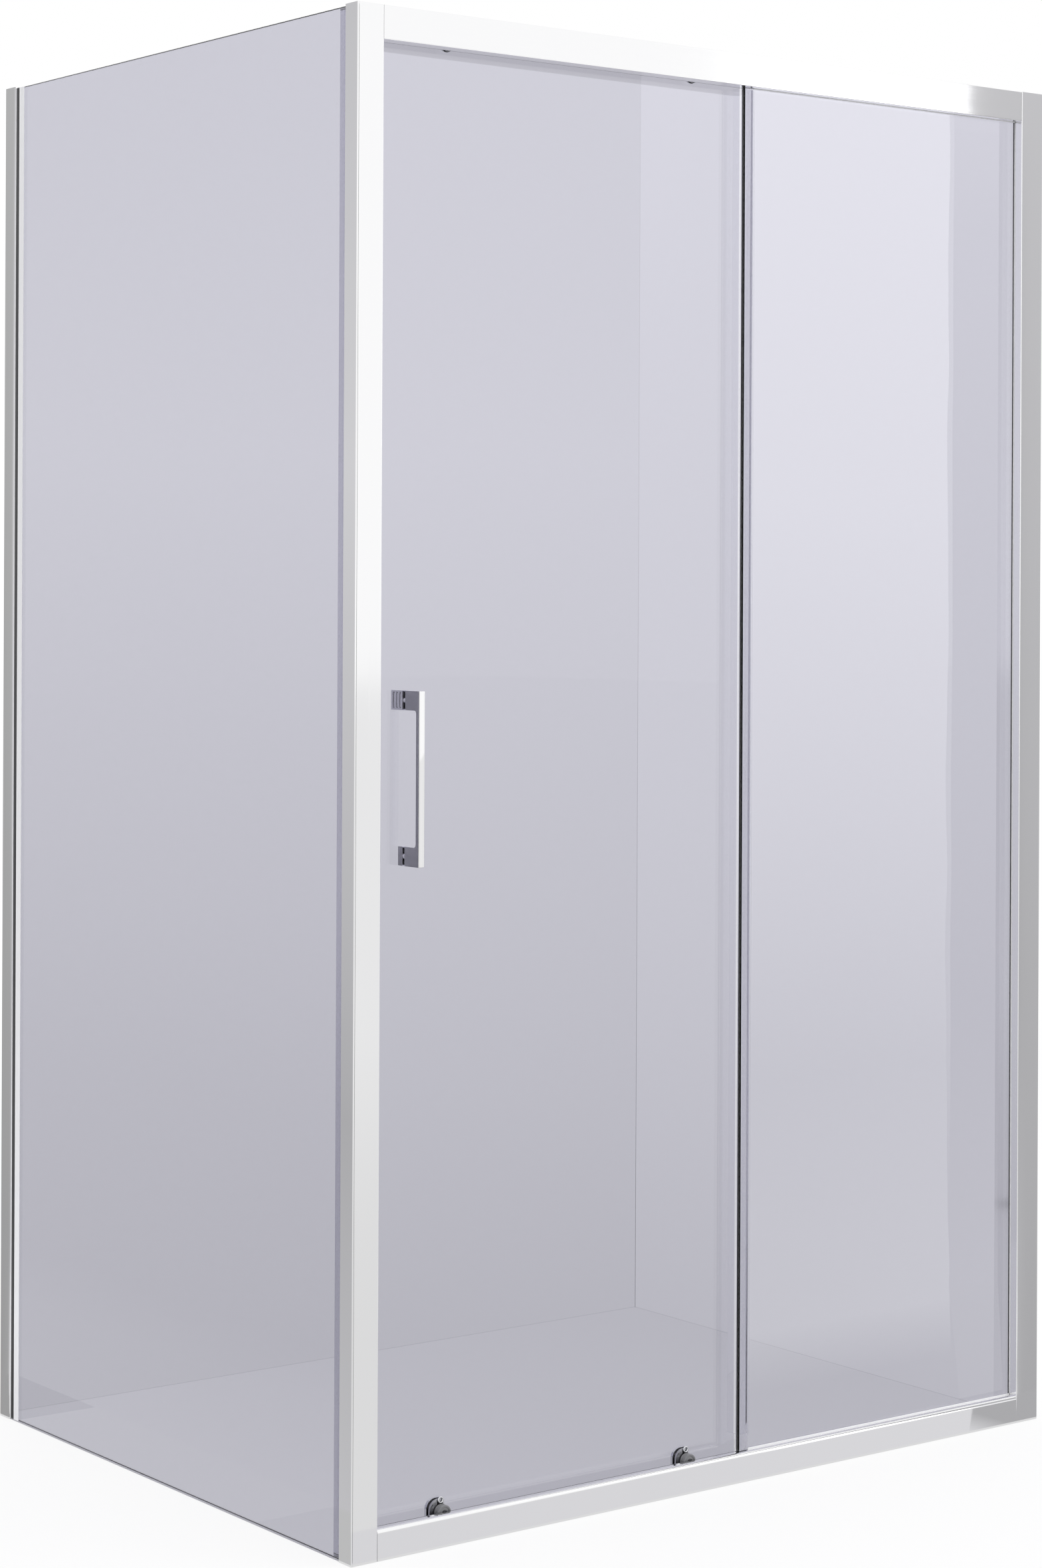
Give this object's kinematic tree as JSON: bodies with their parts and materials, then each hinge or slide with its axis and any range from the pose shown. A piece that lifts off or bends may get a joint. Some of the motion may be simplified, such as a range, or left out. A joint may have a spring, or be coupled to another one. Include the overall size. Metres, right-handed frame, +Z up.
{
  "type": "shower enclosure",
  "caption": "Corner shower enclosure: a framed front with a sliding glass door and a fixed glass panel, a fixed glass return side, polished profiles and a square pull handle.",
  "frame": {"origin": "middle of the footprint's box on the floor", "axes": "+X along the front towards the fixed panel, +Y from the front to the rear wall, +Z up"},
  "size_m": [1.188, 0.894, 1.9],
  "materials": {
    "polished_profile": "bright polished anodised extrusion",
    "clear_glass": "clear toughened glass",
    "black_rubber": "matt black gasket",
    "clear_seal": "clear soft seal",
    "chrome": "bright chrome plate",
    "steel": "stainless steel",
    "white_nylon": "moulded nylon",
    "grey_plastic": "moulded",
    "wheel_plastic": "moulded wheel, dark grey"
  },
  "bodies": {
    "frame": {"corner_post": "polished_profile", "door_jamb": "polished_profile", "top_rail": "polished_profile", "bottom_rail": "polished_profile", "right_wall_channel": "polished_profile", "right_wall_post": "polished_profile", "left_wall_channel": "polished_profile", "left_wall_post": "polished_profile", "slot_infills": "polished_profile", "return_glass": "clear_glass", "fixed_glass": "clear_glass", "return_wall_gasket": "black_rubber", "fixed_wall_gasket": "black_rubber", "return_wall_strip": "clear_seal", "return_sill_seal": "clear_seal", "return_front_gasket": "clear_seal", "return_inner_gasket": "clear_seal", "fixed_top_gasket": "clear_seal", "fixed_bottom_gasket": "clear_seal", "fixed_edge_seal": "clear_seal", "jamb_magnet_strip": "clear_seal", "corner_screws": "steel", "rail_screws": "steel", "post_screws": "steel", "fixed_setting_blocks": "white_nylon", "rail_end_keys": "white_nylon", "profile_caps": "grey_plastic", "door_stops": "grey_plastic"},
    "door": {"door_glass": "clear_glass", "handle_grip": "chrome", "handle_inner_block": "chrome", "handle_inner_cap": "chrome", "handle_gaskets": "black_rubber", "handle_studs": "steel", "handle_bushes": "white_nylon", "leading_edge_seal": "clear_seal", "trailing_edge_seal": "clear_seal", "door_drip_seal": "clear_seal", "top_roller_axles": "steel", "top_roller_bushes": "white_nylon", "bottom_roller_gaskets": "black_rubber", "top_bracket_left": "chrome", "top_roller_cap_left": "chrome", "bottom_plate_left": "chrome", "bottom_cap_left": "chrome", "release_spring_left": "steel", "top_bracket_right": "chrome", "top_roller_cap_right": "chrome", "bottom_plate_right": "chrome", "bottom_cap_right": "chrome", "release_spring_right": "steel"},
    "carriage_left": {"release_carriage_left": "chrome"},
    "carriage_right": {"release_carriage_right": "chrome"},
    "bottom_wheel_left": {"bottom_wheel_left": "wheel_plastic"},
    "bottom_wheel_right": {"bottom_wheel_right": "wheel_plastic"},
    "upper_wheel_left": {"upper_wheel_left": "wheel_plastic"},
    "upper_wheel_right": {"upper_wheel_right": "wheel_plastic"},
    "lower_wheel_left": {"lower_wheel_left": "wheel_plastic"},
    "lower_wheel_right": {"lower_wheel_right": "wheel_plastic"}
  },
  "joints": [
    {"name": "door_slide", "type": "slide", "parent": "frame", "child": "door", "axis": [1, 0, 0], "range_m": [0, 0.47]},
    {"name": "upper_wheel_left_spin", "type": "hinge", "parent": "door", "child": "upper_wheel_left", "pos_m": [-0.4375, -0.4196, 1.8871], "axis": [0, 1, 0], "range_deg": [0, 3560]},
    {"name": "lower_wheel_left_spin", "type": "hinge", "parent": "door", "child": "lower_wheel_left", "pos_m": [-0.4375, -0.4196, 1.8669], "axis": [0, 1, 0], "range_deg": [-3560, 0]},
    {"name": "bottom_release_left", "type": "slide", "parent": "door", "child": "carriage_left", "axis": [0, 0, 1], "range_m": [0, 0.0045], "stiffness_N_per_m": 800, "springref_m": -0.006, "deforming": ["release_spring_left"]},
    {"name": "bottom_wheel_left_spin", "type": "hinge", "parent": "carriage_left", "child": "bottom_wheel_left", "pos_m": [-0.4375, -0.4196, 0.034], "axis": [0, 1, 0], "range_deg": [0, 2980]},
    {"name": "upper_wheel_right_spin", "type": "hinge", "parent": "door", "child": "upper_wheel_right", "pos_m": [-0.0375, -0.4196, 1.8871], "axis": [0, 1, 0], "range_deg": [0, 3560]},
    {"name": "lower_wheel_right_spin", "type": "hinge", "parent": "door", "child": "lower_wheel_right", "pos_m": [-0.0375, -0.4196, 1.8669], "axis": [0, 1, 0], "range_deg": [-3560, 0]},
    {"name": "bottom_release_right", "type": "slide", "parent": "door", "child": "carriage_right", "axis": [0, 0, 1], "range_m": [0, 0.0045], "stiffness_N_per_m": 800, "springref_m": -0.006, "deforming": ["release_spring_right"]},
    {"name": "bottom_wheel_right_spin", "type": "hinge", "parent": "carriage_right", "child": "bottom_wheel_right", "pos_m": [-0.0375, -0.4196, 0.034], "axis": [0, 1, 0], "range_deg": [0, 2980]}
  ],
  "couplings": [
    {"joint": "upper_wheel_left_spin", "follows": "door_slide", "rad_per_m": 131.58},
    {"joint": "lower_wheel_left_spin", "follows": "door_slide", "rad_per_m": -131.58},
    {"joint": "bottom_wheel_left_spin", "follows": "door_slide", "rad_per_m": 109.89},
    {"joint": "upper_wheel_right_spin", "follows": "door_slide", "rad_per_m": 131.58},
    {"joint": "lower_wheel_right_spin", "follows": "door_slide", "rad_per_m": -131.58},
    {"joint": "bottom_wheel_right_spin", "follows": "door_slide", "rad_per_m": 109.89}
  ]
}
